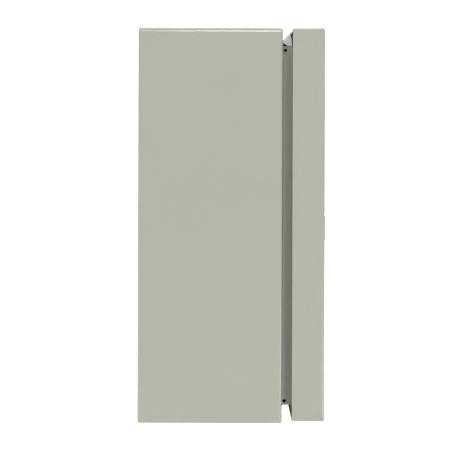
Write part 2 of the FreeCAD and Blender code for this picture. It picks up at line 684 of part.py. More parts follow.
def device_case(first, modules):
    """Moulded case: shoulders with the terminals, and a nose with the lever's drum in it."""
    x0, x1 = case_span(first, modules)
    back = RAIL_FRONT + 3.8
    outline = [
        (back, RAIL_Z - CASE_HALF_H + 6), (RAIL_FRONT - 3, RAIL_Z - CASE_HALF_H),
        (RAIL_FRONT - SHOULDER, RAIL_Z - CASE_HALF_H), (RAIL_FRONT - SHOULDER, RAIL_Z - NOSE_HALF_H),
        (RAIL_FRONT - NOSE, RAIL_Z - NOSE_HALF_H + 1), (RAIL_FRONT - NOSE, RAIL_Z + NOSE_HALF_H - 1),
        (RAIL_FRONT - SHOULDER, RAIL_Z + NOSE_HALF_H), (RAIL_FRONT - SHOULDER, RAIL_Z + CASE_HALF_H),
        (RAIL_FRONT - 3, RAIL_Z + CASE_HALF_H), (back, RAIL_Z + CASE_HALF_H - 6),
    ]
    case = prism_x(outline, x0, x1)
    front_edges = [e for e in edges_along(case, V(1, 0, 0)) if e.BoundBox.YMax < RAIL_FRONT - SHOULDER + 1]
    case = case.makeFillet(0.8, front_edges)
    case = case.cut(rail_recess(x0, x1, back))
    left, right = lever_span(first, modules)
    pocket = rod(DRUM_R + DRUM_CLEAR, (left - 0.3, LEVER_AXIS_Y, RAIL_Z), (right + 0.3, LEVER_AXIS_Y, RAIL_Z))
    case = case.cut(pocket)
    shoulder_y = RAIL_FRONT - SHOULDER
    for x in pole_centres(first, modules):
        for side in (-1, 1):
            z = RAIL_Z + side * TERMINAL_Z
            case = case.cut(rod(TERMINAL_R, (x, shoulder_y - 1, z), (x, shoulder_y + 12, z)))
            edge = RAIL_Z + side * CASE_HALF_H
            case = case.cut(block(x - 4, x + 4, shoulder_y + 14, shoulder_y + 22, edge - side * 3, edge + side))
    return case


def device_lever(first, modules):
    """Drum and lever, resting in the off position with the lever down."""
    left, right = lever_span(first, modules)
    axle = (left, LEVER_AXIS_Y, RAIL_Z)
    drum = rod(DRUM_R, axle, (right, LEVER_AXIS_Y, RAIL_Z))
    lever = block(left, right, LEVER_AXIS_Y - LEVER_TIP, LEVER_AXIS_Y - 2, RAIL_Z - 1.9, RAIL_Z + 1.9)
    lever = lever.makeFillet(1.2, [e for e in edges_along(lever, V(1, 0, 0)) if e.BoundBox.YMax < LEVER_AXIS_Y - 8])
    lever.rotate(V(*axle), V(1, 0, 0), LEVER_SWING / 2)
    return join([drum, lever])


def terminal_screws():
    """Every terminal screw, sunk in its hole in the case."""
    seat = RAIL_FRONT - SHOULDER + 12
    screws = []
    for x in [p for first, modules in DEVICES.values() for p in pole_centres(first, modules)]:
        for side in (-1, 1):
            z = RAIL_Z + side * TERMINAL_Z
            head = rod(2.9, (x, seat - 5, z), (x, seat, z))
            slot = block(x - 3, x + 3, seat - 6, seat - 3.6, z - 0.5, z + 0.5)
            cross = block(x - 0.5, x + 0.5, seat - 6, seat - 3.6, z - 2, z + 2)
            screws.append(head.cut(slot).cut(cross))
    return Part.makeCompound(screws)


# name: (first module place, number of modules)
DEVICES = {"main_switch": (0, 2), "breaker_1": (2, 1), "breaker_2": (3, 1), "breaker_3": (4, 1), "breaker_4": (5, 1)}

# ---- neutral and earth bars ------------------------------------------------------------------
SUPPORT_X = 36.0
SUPPORT_HEIGHT = 15.0
BAR_DEPTH = 7.0
BAR_HALF_H = 4.5
BAR_BACK = PLATE_FRONT - SUPPORT_HEIGHT
BAR_FRONT = BAR_BACK - BAR_DEPTH
SUPPORT_FOOT = 16.0


def support_screw_places():
    return (-SUPPORT_X - SUPPORT_FOOT / 2 - 5, SUPPORT_X + SUPPORT_FOOT / 2 + 5)


def bar_screw_places():
    return [BAR_PITCH * (i - (BAR_SCREWS - 1) / 2) for i in range(BAR_SCREWS)]


def terminal_bar(z):
    """Brass bar with a row of clamping screws from the front and wire holes from below."""
    bar = block(-BAR_HALF_LENGTH, BAR_HALF_LENGTH, BAR_FRONT, BAR_BACK, z - BAR_HALF_H, z + BAR_HALF_H)
    bar = bar.makeChamfer(0.5, edges_along(bar, V(1, 0, 0)))
    middle = (BAR_FRONT + BAR_BACK) / 2
    for x in bar_screw_places():
        bar = bar.cut(rod(1.9, (x, middle, z - 10), (x, middle, z + 10)))
        bar = bar.cut(rod(1.95, (x, BAR_FRONT - 1, z), (x, BAR_BACK - 0.8, z)))
    return bar


def bar_screws(z):
    head_r = 3.0
    screws = []
    for x in bar_screw_places():
        head = rod(head_r, (x, BAR_FRONT - 2.2, z), (x, BAR_FRONT, z))
        head = head.makeFillet(0.5, [e for e in round_edges(head, head_r) if e.BoundBox.YMax < BAR_FRONT - 1])
        slot = block(x - 4, x + 4, BAR_FRONT - 3, BAR_FRONT - 1.2, z - 0.45, z + 0.45)
        screws.append(join([head, rod(1.95, (x, BAR_FRONT, z), (x, BAR_BACK - 0.9, z))]).cut(slot))
    return Part.makeCompound(screws)


def bar_supports(z):
    """Two insulating feet that hold a bar clear of the plate, each with a screw lug at its outer side."""
    feet = []
    for side in (-1, 1):
        middle = side * SUPPORT_X
        half = SUPPORT_FOOT / 2
        post = block(middle - half / 2, middle + half / 2, BAR_BACK, PLATE_FRONT, z - 6, z + 6)
        post = post.makeFillet(1.0, edges_along(post, V(0, 1, 0)))
        lug_end = side * (SUPPORT_X + half + 10)
        lug = block(middle, lug_end, PLATE_FRONT - 3, PLATE_FRONT, z - 6, z + 6)
        outer = [e for e in edges_along(lug, V(0, 1, 0)) if abs(e.CenterOfMass.x - lug_end) < 0.1]
        lug = lug.makeFillet(4.0, outer)
        screw_x = side * support_screw_places()[1]
        feet.append(join([post, lug]).cut(rod(SUPPORT_SCREW_R + 0.1, (screw_x, -40, z), (screw_x, 0, z))))
    return Part.makeCompound(feet)


def support_screws():
    seat = PLATE_FRONT - 3
    screws = []
    for z in (NEUTRAL_Z, EARTH_Z):
        for x in support_screw_places():
            screws.append(plate_screw(x, z, SUPPORT_SCREW_R, 3.8, 2.6, seat, PLATE_BACK + 4))
    return Part.makeCompound(screws)


# ---- the whole cabinet -----------------------------------------------------------------------
def build():
    """Every sub-part by name."""
    wall_base, wall_away = (HALF_W - SHEET, EARTH_STUD_Y, EARTH_STUD_Z), V(-1, 0, 0)
    door_base, door_away = (DOOR_STUD_X, DOOR_INNER, DOOR_STUD_Z), V(0, 1, 0)
    nodes = {
        "cabinet_shell": cabinet_shell(),
        "rear_panel": rear_panel(),
        "rain_gutter": rain_gutter(),
        "gutter_end_plugs": Part.makeCompound([gutter_end_plug(-1), gutter_end_plug(1)]),
        "gland_gasket": gland_gasket(),
        "gland_plate": gland_plate(),
        "gland_plate_screws": gland_screws(),
        "mounting_plate": mounting_plate(),
        "plate_studs": plate_studs(),
        "plate_spacers": plate_spacers(),
        "plate_washers": plate_washers(),
        "plate_nuts": plate_nuts(),
        "din_rail": din_rail(),
        "din_rail_screws": din_rail_screws(),
        "rail_end_stop_left": rail_end_stop(-1),
        "rail_end_stop_right": rail_end_stop(1),
        "terminal_screws": terminal_screws(),
        "neutral_bar": terminal_bar(NEUTRAL_Z),
        "neutral_bar_screws": bar_screws(NEUTRAL_Z),
        "neutral_bar_supports": bar_supports(NEUTRAL_Z),
        "earth_bar": terminal_bar(EARTH_Z),
        "earth_bar_screws": bar_screws(EARTH_Z),
        "earth_bar_supports": bar_supports(EARTH_Z),
        "bar_support_screws": support_screws(),
        "cabinet_earth_stud": m6_stud(wall_base, wall_away, EARTH_STUD_LENGTH),
        "cabinet_earth_washer": m6_washer(wall_base, wall_away),
        "cabinet_earth_nut": m6_nut(wall_base, wall_away),
        "hinge_pin_clips": hinge_pin_clips(),
        "door_shell": door_shell(),
        "door_gasket": door_gasket(),
        "door_earth_stud": m6_stud(door_base, door_away, EARTH_STUD_LENGTH),
        "door_earth_washer": m6_washer(door_base, door_away),
        "door_earth_nut": m6_nut(door_base, door_away),
        "lock_housing": lock_housing(),
        "lock_seal": lock_seal(),
        "lock_nut": lock_nut(),
        "lock_spindle": lock_spindle(),
        "lock_cam": lock_cam(),
        "lock_cam_washer": lock_cam_washer(),
        "lock_cam_screw": lock_cam_screw(),
    }
    for i, x in enumerate(GROMMET_X, 1):
        nodes[f"cable_grommet_{i}"] = cable_grommet(x)
    for place, middle in (("upper", HINGE_Z), ("lower", -HINGE_Z)):
        nodes[f"{place}_hinge_fixed_leaf"] = hinge_fixed_leaf(middle)
        nodes[f"{place}_hinge_door_leaf"] = hinge_door_leaf(middle)
        nodes[f"{place}_hinge_pin"] = hinge_pin(middle)
    for name, (first, modules) in DEVICES.items():
        nodes[f"{name}_case"] = device_case(first, modules)
        nodes[f"{name}_lever"] = device_lever(first, modules)
    return nodes


def main():
    os.makedirs("parts", exist_ok=True)
    for name, shape in build().items():
        if not shape.isValid() or shape.Volume <= 0:
            raise ValueError(f"{name} is not a sound solid")
        shape.exportStep(f"parts/{name}.step")


main()
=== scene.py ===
"""The looks of a small wall-mounted switchboard cabinet: powder-coated sheet steel, a poured foam door
seal, a plated quarter-turn lock, threaded studs, moulded switchgear and brass bars, on a pale floor.

Metres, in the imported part's own frame: +Z up, the door faces -Y, the lock is on the left (-X).
"""

import json
import math

import bmesh
import bpy
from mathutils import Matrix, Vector


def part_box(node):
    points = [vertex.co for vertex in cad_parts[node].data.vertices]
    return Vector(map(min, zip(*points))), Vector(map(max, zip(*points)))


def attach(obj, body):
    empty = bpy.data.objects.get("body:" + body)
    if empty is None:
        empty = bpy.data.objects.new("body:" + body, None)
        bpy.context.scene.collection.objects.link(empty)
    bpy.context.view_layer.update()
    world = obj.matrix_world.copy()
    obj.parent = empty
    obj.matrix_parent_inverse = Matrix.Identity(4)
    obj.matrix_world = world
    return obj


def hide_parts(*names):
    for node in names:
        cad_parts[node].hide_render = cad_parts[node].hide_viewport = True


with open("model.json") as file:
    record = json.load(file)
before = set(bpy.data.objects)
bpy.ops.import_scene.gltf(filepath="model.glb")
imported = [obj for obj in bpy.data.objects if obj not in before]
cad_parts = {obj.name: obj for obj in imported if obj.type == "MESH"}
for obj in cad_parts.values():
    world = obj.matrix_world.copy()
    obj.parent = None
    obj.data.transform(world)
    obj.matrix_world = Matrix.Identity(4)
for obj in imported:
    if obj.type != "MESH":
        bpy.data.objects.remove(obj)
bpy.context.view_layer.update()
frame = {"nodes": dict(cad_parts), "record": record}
nodes = frame["nodes"]

MM = 0.001
shell_low, shell_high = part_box("cabinet_shell")
HEIGHT = shell_high.z - shell_low.z


# ---- camera, lights and floor ----------------------------------------------------------------
CAMERA_DISTANCE = 1.35  # from the cabinet's lock side
CAMERA_DEPTH = -0.0835
CAMERA_ROLL = -0.19  # degrees
CAMERA_SHIFT_X, CAMERA_SHIFT_Y = -0.0515, 0.001
SENSOR_WIDTH = 36.0
FILLED_SHARE = 0.8804  # of the square frame's height, taken up by the cabinet
LIGHTS_MEET = Vector((0, -0.07, 0))  # the middle of the cabinet
TENT_LIGHT = 0.24
PLAIN_WHITE = 1.3  # brightness at which the surroundings are seen
FLOOR_SIZE, FLOOR_DROP = 60, 0.55


def set_camera():
    """A long lens, square on to the lock side at half height."""
    shown_height = HEIGHT / FILLED_SHARE
    data = bpy.data.cameras.new("side_camera")
    data.sensor_width = SENSOR_WIDTH
    data.lens = SENSOR_WIDTH * CAMERA_DISTANCE / shown_height
    data.shift_x = CAMERA_SHIFT_X
    data.shift_y = CAMERA_SHIFT_Y
    camera = bpy.data.objects.new("side_camera", data)
    camera.location = (shell_low.x - CAMERA_DISTANCE, CAMERA_DEPTH, 0.0)
    camera.rotation_euler = (math.radians(90), math.radians(CAMERA_ROLL), math.radians(-90))
    bpy.context.scene.collection.objects.link(camera)
    bpy.context.scene.camera = camera


def softbox(name, place, width, height, power):
    """A flat area light that faces the middle of the cabinet."""
    data = bpy.data.lights.new(name, "AREA")
    data.shape = "RECTANGLE"
    data.size = width
    data.size_y = height
    data.energy = power
    lamp = bpy.data.objects.new(name, data)
    lamp.location = place
    lamp.rotation_mode = "QUATERNION"
    lamp.rotation_quaternion = (LIGHTS_MEET - Vector(place)).to_track_quat("-Z", "Y")
    bpy.context.scene.collection.objects.link(lamp)


def set_lights():
    """Each softbox: its place, its width and height, and its power in watts."""
    softbox("key_softbox_front", (-1.6, -1.3, 0.3), 0.8, 0.8, 0.7)
    softbox("key_softbox_rear", (-1.6, 1.1, 0.3), 0.8, 0.8, 0.7)
    softbox("edge_strip", (-2.3, -0.08, 0.95), 0.3, 0.5, 13.5)
    softbox("low_fill_front", (-1.4, -0.95, -0.42), 0.8, 0.55, 9.6)
    softbox("low_fill_rear", (-1.2, 1.1, -0.42), 0.8, 0.55, 9.0)
    softbox("top_softbox", (0.1, -0.05, 1.6), 1.0, 1.0, 12.0)
    softbox("front_softbox", (1.6, -1.6, 1.7), 1.7, 1.4, 42.0)
    softbox("front_card", (0.8, -2.6, 0.55), 2.4, 2.0, 17.0)
    softbox("back_softbox", (1.6, 1.6, 1.7), 1.7, 1.4, 58.0)


def white_when_seen(tree, quiet):
    """Mixes a plain white glow over a shader, for the camera's own rays only."""
    seen = tree.nodes.new("ShaderNodeEmission")
    seen.inputs["Strength"].default_value = PLAIN_WHITE
    path = tree.nodes.new("ShaderNodeLightPath")
    mix = tree.nodes.new("ShaderNodeMixShader")
    tree.links.new(path.outputs["Is Camera Ray"], mix.inputs[0])
    tree.links.new(quiet, mix.inputs[1])
    tree.links.new(seen.outputs[0], mix.inputs[2])
    return mix.outputs[0]


def set_world():
    """Even, pale surroundings that light softly and are seen as plain white."""
    world = bpy.data.worlds.new("studio_tent")
    world.use_nodes = True
    tree = world.node_tree
    tree.nodes.clear()
    output = tree.nodes.new("ShaderNodeOutputWorld")
    light = tree.nodes.new("ShaderNodeBackground")
    light.inputs["Color"].default_value = (1.0, 1.0, 1.0, 1.0)
    light.inputs["Strength"].default_value = TENT_LIGHT
    tree.links.new(white_when_seen(tree, light.outputs[0]), output.inputs["Surface"])
    bpy.context.scene.world = world


def set_floor():
    """A pale floor, well below a cabinet that hangs on a wall."""
    bpy.ops.mesh.primitive_plane_add(size=FLOOR_SIZE, location=(0, 0, shell_low.z - FLOOR_DROP))
    floor = bpy.context.object
    floor.name = "studio_floor"
    material = bpy.data.materials.new("pale_floor")
    material.use_nodes = True
    tree = material.node_tree
    shader = tree.nodes["Principled BSDF"]
    shader.inputs["Base Color"].default_value = (0.45, 0.45, 0.45, 1)
    shader.inputs["Roughness"].default_value = 0.9
    surface = tree.nodes["Material Output"].inputs["Surface"]
    tree.links.new(white_when_seen(tree, shader.outputs[0]), surface)
    floor.data.materials.append(material)


# ---- material tools --------------------------------------------------------------------------
def new_material(name, colour, metallic=0.0, roughness=0.5, specular=0.5):
    """A plain material, before any texture is joined to it."""
    material = bpy.data.materials.new(name)
    material.use_nodes = True
    shader = shader_of(material)
    shader.inputs["Base Color"].default_value = (*colour, 1)
    shader.inputs["Metallic"].default_value = metallic
    shader.inputs["Roughness"].default_value = roughness
    shader.inputs["Specular IOR Level"].default_value = specular
    return material


def add_node(material, kind, **settings):
    node = material.node_tree.nodes.new(kind)
    for key, value in settings.items():
        setattr(node, key, value)
    return node


def join(material, source, target):
    material.node_tree.links.new(source, target)


def shader_of(material):
    return material.node_tree.nodes["Principled BSDF"]


def feed(material, source, socket):
    """Joins a source to one of the shader's own sockets."""
    join(material, source, shader_of(material).inputs[socket])


def place_of(material, stretch=(1, 1, 1)):
    """Object coordinates, stretched per axis."""
    coordinates = add_node(material, "ShaderNodeTexCoord")
    mapping = add_node(material, "ShaderNodeMapping")
    mapping.inputs["Scale"].default_value = stretch
    join(material, coordinates.outputs["Object"], mapping.inputs["Vector"])
    return mapping.outputs["Vector"]


def noise(material, place, scale, detail=2.0, rough=0.5):
    texture = add_node(material, "ShaderNodeTexNoise")
    texture.inputs["Scale"].default_value = scale
    texture.inputs["Detail"].default_value = detail
    texture.inputs["Roughness"].default_value = rough
    join(material, place, texture.inputs["Vector"])
    return texture.outputs["Fac"]


def spots(material, place, scale, size):
    """1 inside small round spots scattered one to a cell, 0 elsewhere."""
    cells = add_node(material, "ShaderNodeTexVoronoi")
    cells.inputs["Scale"].default_value = scale
    join(material, place, cells.inputs["Vector"])
    return ramp_between(material, cells.outputs["Distance"], size, size * 0.6)


def ramp_between(material, value, low, high, out_low=0.0, out_high=1.0):
    """A smooth change from out_low where value is low to out_high where it is high."""
    ramp = add_node(material, "ShaderNodeMapRange", interpolation_type="SMOOTHSTEP")
    ramp.inputs["From Min"].default_value = min(low, high)
    ramp.inputs["From Max"].default_value = max(low, high)
    ramp.inputs["To Min"].default_value = out_low if low < high else out_high
    ramp.inputs["To Max"].default_value = out_high if low < high else out_low
    join(material, value, ramp.inputs["Value"])
    return ramp.outputs["Result"]


def maths(material, operation, first, second):
    """A sum on two values, each a number or another node's output."""
    node = add_node(material, "ShaderNodeMath", operation=operation)
    for socket, value in ((node.inputs[0], first), (node.inputs[1], second)):
        if isinstance(value, (int, float)):
            socket.default_value = value
        else:
            join(material, value, socket)
    return node.outputs[0]


def tint(material, share, under, over):
    """under, turning to over where share is 1. Either is a colour or an earlier tint."""
    mix = add_node(material, "ShaderNodeMix", data_type="RGBA")
    join(material, share, mix.inputs["Factor"])
    for socket, value in ((mix.inputs[6], under), (mix.inputs[7], over)):
        if isinstance(value, tuple):
            socket.default_value = (*value, 1)
        else:
            join(material, value, socket)
    return mix.outputs[2]


def shade(colour, factor):
    return tuple(c * factor for c in colour)


def bump(material, height, depth, strength=1.0, under=None):
    """Relief of a given depth in metres, over any relief that lies under it."""
    node = add_node(material, "ShaderNodeBump")
    node.inputs["Strength"].default_value = strength
    node.inputs["Distance"].default_value = depth
    join(material, height, node.inputs["Height"])
    if under is not None:
        join(material, under, node.inputs["Normal"])
    return node.outputs["Normal"]


# ---- finishes --------------------------------------------------------------------------------
PEBBLE_GREY = (0.437, 0.433, 0.368)


def powder_coat():
    """Baked pebble-grey powder: fine orange peel, faint clouding, and a few specks of shop dust."""
    coat = new_material("pebble_grey_powder_coat", PEBBLE_GREY, roughness=0.5, specular=0.3)
    shader_of(coat).inputs["Coat Weight"].default_value = 1.0
    shader_of(coat).inputs["Coat Roughness"].default_value = 0.16
    place = place_of(coat)
    clouds = noise(coat, place, 11.0, detail=4.0, rough=0.55)
    grain = noise(coat, place, 900.0, detail=2.0, rough=0.6)
    cloud_share = ramp_between(coat, clouds, 0.3, 0.7)
    grain_share = ramp_between(coat, grain, 0.25, 0.75)
    colour = tint(coat, cloud_share, shade(PEBBLE_GREY, 0.985), shade(PEBBLE_GREY, 1.015))
    grained = tint(coat, maths(coat, "MULTIPLY", grain_share, 0.5), colour, shade(PEBBLE_GREY, 0.93))
    specks = spots(coat, place, 26.0, 0.018)
    chosen = ramp_between(coat, noise(coat, place, 17.0, detail=0.0), 0.60, 0.62)
    dusty = tint(coat, maths(coat, "MULTIPLY", specks, chosen), grained, (0.12, 0.115, 0.1))
    feed(coat, dusty, "Base Color")
    peel = noise(coat, place, 420.0, detail=1.0)
    rough = ramp_between(coat, clouds, 0.2, 0.8, 0.45, 0.55)
    feed(coat, rough, "Roughness")
    waves = bump(coat, peel, 0.02 * MM, 0.5)
    feed(coat, bump(coat, grain, 0.006 * MM, 0.5, waves), "Normal")
    return coat


def zinc_plate(name, colour, roughness):
    """Bright zinc over rolled steel: faint grain along the sheet, cloudy patches and dull spots."""
    zinc = new_material(name, colour, metallic=1.0, roughness=roughness)
    place = place_of(zinc)
    grain = noise(zinc, place_of(zinc, (1.0, 1.0, 0.06)), 1400.0, detail=3.0)
    patches = noise(zinc, place, 60.0, detail=5.0, rough=0.6)
    share = ramp_between(zinc, patches, 0.3, 0.7)
    feed(zinc, tint(zinc, share, shade(colour, 0.86), shade(colour, 1.08)), "Base Color")
    mixed = maths(zinc, "ADD", maths(zinc, "MULTIPLY", grain, 0.12), maths(zinc, "MULTIPLY", share, 0.12))
    feed(zinc, maths(zinc, "ADD", mixed, roughness - 0.12), "Roughness")
    feed(zinc, bump(zinc, grain, 0.01 * MM, 0.4), "Normal")
    return zinc


def plated_lock():
    """Nickel-plated die casting, softly polished."""
    plating = new_material("nickel_plated_casting", (0.8, 0.79, 0.76), metallic=1.0, roughness=0.24)
    place = place_of(plating)
    wear = ramp_between(plating, noise(plating, place, 150.0, detail=3.0), 0.35, 0.75, 0.22, 0.3)
    feed(plating, wear, "Roughness")
    feed(plating, bump(plating, noise(plating, place, 900.0), 0.004 * MM, 0.4), "Normal")
    return plating


def poured_foam():
    """Closed-cell foam seal poured in place: a dull skin with small open pores."""
    colour = (0.03, 0.03, 0.032)
    foam = new_material("poured_foam", colour, roughness=0.85, specular=0.25)
    place = place_of(foam)
    clouds = ramp_between(foam, noise(foam, place, 180.0, detail=4.0), 0.3, 0.7)
    pores = spots(foam, place, 900.0, 0.28)
    skin = tint(foam, clouds, colour, (0.055, 0.055, 0.057))
    feed(foam, tint(foam, pores, skin, (0.012, 0.012, 0.012)), "Base Color")
    feed(foam, bump(foam, maths(foam, "SUBTRACT", clouds, pores), 0.2 * MM, 0.6), "Normal")
    return foam


def rubber(name, colour, roughness=0.6):
    """Moulded rubber with a slight bloom."""
    made = new_material(name, colour, roughness=roughness, specular=0.35)
    place = place_of(made)
    bloom = ramp_between(made, noise(made, place, 140.0, detail=5.0, rough=0.65), 0.35, 0.75)
    light = tuple(c + 0.035 for c in colour)
    feed(made, tint(made, bloom, colour, light), "Base Color")
    feed(made, ramp_between(made, bloom, 0.0, 1.0, roughness - 0.08, roughness + 0.1), "Roughness")
    feed(made, bump(made, noise(made, place, 2200.0), 0.03 * MM, 0.5), "Normal")
    return made


def moulded_plastic(name, colour, roughness=0.42, texture=1800.0):
    """Injection-moulded plastic with the mould's fine spark texture."""
    made = new_material(name, colour, roughness=roughness, specular=0.45)
    place = place_of(made)
    flow = ramp_between(made, noise(made, place, 45.0, detail=3.0), 0.3, 0.7)
    feed(made, tint(made, flow, shade(colour, 0.96), shade(colour, 1.03)), "Base Color")
    fine = noise(made, place, texture, detail=2.0)
    feed(made, ramp_between(made, fine, 0.2, 0.8, roughness - 0.06, roughness + 0.06), "Roughness")
    feed(made, bump(made, fine, 0.02 * MM, 0.5), "Normal")
    return made


def drawn_brass():
    """Extruded brass bar with draw lines along it and light tarnish."""
    colour = (0.76, 0.55, 0.24)
    brass = new_material("drawn_brass", colour, metallic=1.0, roughness=0.3)
    lines = noise(brass, place_of(brass, (0.03, 1.0, 1.0)), 1500.0, detail=3.0)
    tarnish = ramp_between(brass, noise(brass, place_of(brass), 120.0, detail=5.0), 0.4, 0.75)
    dull = tint(brass, maths(brass, "MULTIPLY", tarnish, 0.5), colour, (0.42, 0.29, 0.13))
    feed(brass, dull, "Base Color")
    feed(brass, ramp_between(brass, lines, 0.2, 0.8, 0.24, 0.4), "Roughness")
    feed(brass, bump(brass, lines, 0.01 * MM, 0.5), "Normal")
    return brass


def make_finishes():
    """One finish for each of the record's material slots, and a darker zinc that paints shade into the key
    socket.
    """
    return {
        "cabinet_paint": powder_coat(),
        "zinc_plated_steel": zinc_plate("zinc_plated_steel", (0.60, 0.61, 0.62), 0.36),
        "chromed_lock": plated_lock(),
        # darker zinc for the lock spindle: painted shade in its deep key socket
        "socket_shade": zinc_plate("zinc_with_painted_socket_shade", (0.26, 0.26, 0.25), 0.42),
        "seal_foam": poured_foam(),
        "grey_rubber": rubber("grey_rubber", (0.10, 0.10, 0.102)),
        "pale_rubber": rubber("pale_sealing_rubber", (0.93, 0.93, 0.91), 0.35),
        "case_plastic": moulded_plastic("light_grey_case", (0.62, 0.62, 0.60)),
        "switch_lever_plastic": moulded_plastic("red_lever", (0.42, 0.02, 0.015), 0.3, 2600.0),
        "breaker_lever_plastic": moulded_plastic("black_lever", (0.022, 0.022, 0.024), 0.3, 2600.0),
        "end_stop_plastic": moulded_plastic("dark_grey_clamp", (0.16, 0.165, 0.17), 0.5),
        "bar_brass": drawn_brass(),
        "neutral_support_plastic": moulded_plastic("blue_support", (0.02, 0.1, 0.4), 0.4),
        "earth_support_plastic": moulded_plastic("green_support", (0.03, 0.24, 0.06), 0.4),
    }


def paint_nodes(finishes):
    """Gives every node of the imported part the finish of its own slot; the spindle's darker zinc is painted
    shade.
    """
    for row in frame["record"]["subparts"]:
        node = nodes[row["node"]]
        if not node.material_slots:
            node.data.materials.append(None)
        # the spindle's darker zinc paints shade into its key socket
        finish = "socket_shade" if row["node"] == "lock_spindle" else row["material_slot"]
        for slot in node.material_slots:
            slot.material = finishes[finish]


# ---- bench tools: pieces are shaped as by hand -----------------------------------------------
X, Y, Z = Vector((1, 0, 0)), Vector((0, 1, 0)), Vector((0, 0, 1))
WELD_TOLERANCE = 0.002 * MM


def take(piece):
    """Selects one piece and nothing else."""
    bpy.ops.object.select_all(action="DESELECT")
    piece.select_set(True)
    bpy.context.view_layer.objects.active = piece


def open_up(piece):
    """Goes into edit mode with all of a piece selected."""
    take(piece)
    bpy.ops.object.mode_set(mode="EDIT")
    bpy.ops.mesh.select_mode(type="VERT")
    bpy.ops.mesh.select_all(action="SELECT")


def close_up():
    bpy.ops.object.mode_set(mode="OBJECT")


def choose(piece, kind, test):
    """In edit mode, selects the faces or edges that pass a test on their middle and direction."""
    bpy.ops.mesh.select_mode(type=kind)
    bpy.ops.mesh.select_all(action="DESELECT")
    mesh = bmesh.from_edit_mesh(piece.data)
    if kind == "FACE":
        for face in mesh.faces:
            face.select_set(test(face.calc_center_median(), face.normal))
    else:
        for edge in mesh.edges:
            near, far = (corner.co for corner in edge.verts)
            edge.select_set(test((near + far) / 2, (far - near).normalized()))
    bmesh.update_edit_mesh(piece.data)


def tidy_mesh(piece):
    """Merges doubled corners and turns every face outwards."""
    open_up(piece)
    bpy.ops.mesh.remove_doubles(threshold=WELD_TOLERANCE)
    bpy.ops.mesh.select_all(action="SELECT")
    bpy.ops.mesh.normals_make_consistent(inside=False)
    close_up()


def settle(piece):
    """Puts a piece's place and turn into its mesh."""
    take(piece)
    bpy.ops.object.transform_apply(location=True, rotation=True, scale=True)


def apply_modifier(piece, kind, **settings):
    take(piece)
    modifier = piece.modifiers.new(kind.lower(), kind)
    for key, value in settings.items():
        setattr(modifier, key, value)
    bpy.ops.object.modifier_apply(modifier=modifier.name)


def round_edges(piece, width, segments=2, angle=30):
    apply_modifier(piece, "BEVEL", width=width, segments=segments, limit_method="ANGLE",
                   angle_limit=math.radians(angle), use_clamp_overlap=True)


def smooth(piece, angle=40):
    take(piece)
    bpy.ops.object.shade_smooth_by_angle(angle=math.radians(angle))


def block(name, low, high):
    """A rectangular blank between two corners."""
    low, high = Vector(low), Vector(high)
    bpy.ops.mesh.primitive_cube_add(size=1, location=(low + high) / 2, scale=high - low)
    piece = bpy.context.object
    piece.name = name
    settle(piece)
    return piece


def drawn_line(name, points):
    """One point pulled out into a line through the others."""
    bpy.ops.mesh.primitive_plane_add(size=0.0001, location=points[0])
    piece = bpy.context.object
    piece.name = name
    settle(piece)
    open_up(piece)
    bpy.ops.mesh.merge(type="CENTER")
    for near, far in zip(points, points[1:]):
        bpy.ops.mesh.extrude_region_move(TRANSFORM_OT_translate={"value": far - near})
    close_up()
    return piece


def turned(name, outline, place, away, steps=32, closed=False):
    """A turned piece. outline holds (radius, height) pairs about the line from place along away."""
    side = X if abs(away.x) < 0.5 else Z
    points = [place + side * radius + away * height for radius, height in outline]
    piece = drawn_line(name, points + points[:1] if closed else points)
    open_up(piece)
    bpy.ops.mesh.spin(steps=steps, angle=2 * math.pi, center=place, axis=away)
    close_up()
    tidy_mesh(piece)
    return piece


def carried_round(section, half_w, half_h, corner, step, turn_steps):
    """Carries a section, drawn in the middle of the right side, once round a rectangle."""
    low, high = piece_box(section)
    level = (low.y + high.y) / 2
    runs = [(Z, half_h - corner, (1, 1)), (-X, 2 * (half_w - corner), (-1, 1)),
            (-Z, 2 * (half_h - corner), (-1, -1)), (X, 2 * (half_w - corner), (1, -1)),
            (Z, half_h - corner, None)]
    open_up(section)
    for direction, length, ahead in runs:
        pulls = max(1, round(length / step))
        for _ in range(pulls):
            bpy.ops.mesh.extrude_region_move(TRANSFORM_OT_translate={"value": direction * length / pulls})
        if ahead:
            centre = (ahead[0] * (half_w - corner), level, ahead[1] * (half_h - corner))
            bpy.ops.mesh.spin(steps=turn_steps, angle=math.pi / 2, center=centre, axis=(0, 1, 0))
    close_up()
    tidy_mesh(section)


def in_millimetres(outline):
    """An outline drawn in millimetres, in metres."""
    return [(radius * MM, height * MM) for radius, height in outline]


def piece_box(piece):
    """The lowest and highest corner of a piece's mesh."""
    points = [corner.co for corner in piece.data.vertices]
    low = Vector([min(point[i] for point in points) for i in range(3)])
    high = Vector([max(point[i] for point in points) for i in range(3)])
    return low, high


def copy_at(piece, offset, turn=0.0):
    """A copy with its own mesh, turned about the world's upright axis and then moved by offset."""
    take(piece)
    bpy.ops.object.duplicate(linked=False)
    copy = bpy.context.object
    if turn:
        copy.rotation_euler.z = turn
        settle(copy)
    copy.location = offset
    settle(copy)
    return copy


def joined(name, parts):
    """Several loose pieces made into one, under one name."""
    bpy.ops.object.select_all(action="DESELECT")
    for part in parts:
        part.select_set(True)
    bpy.context.view_layer.objects.active = parts[0]
    if len(parts) > 1:
        bpy.ops.object.join()
    whole = bpy.context.object
    whole.name = name
    whole.data.name = name
    return whole


def press_in(piece, test, rim, push):
    """Presses in the middle of the chosen face and leaves a rim round it."""
    open_up(piece)
    choose(piece, "FACE", test)
    bpy.ops.mesh.inset(thickness=rim, depth=0)
    bpy.ops.mesh.extrude_region_move(TRANSFORM_OT_translate={"value": push})
    close_up()


def cut_away(piece, cutter):
    """Cuts one piece out of another and throws the cutter away."""
    apply_modifier(piece, "BOOLEAN", object=cutter, operation="DIFFERENCE", solver="EXACT")
    bpy.data.objects.remove(cutter, do_unlink=True)


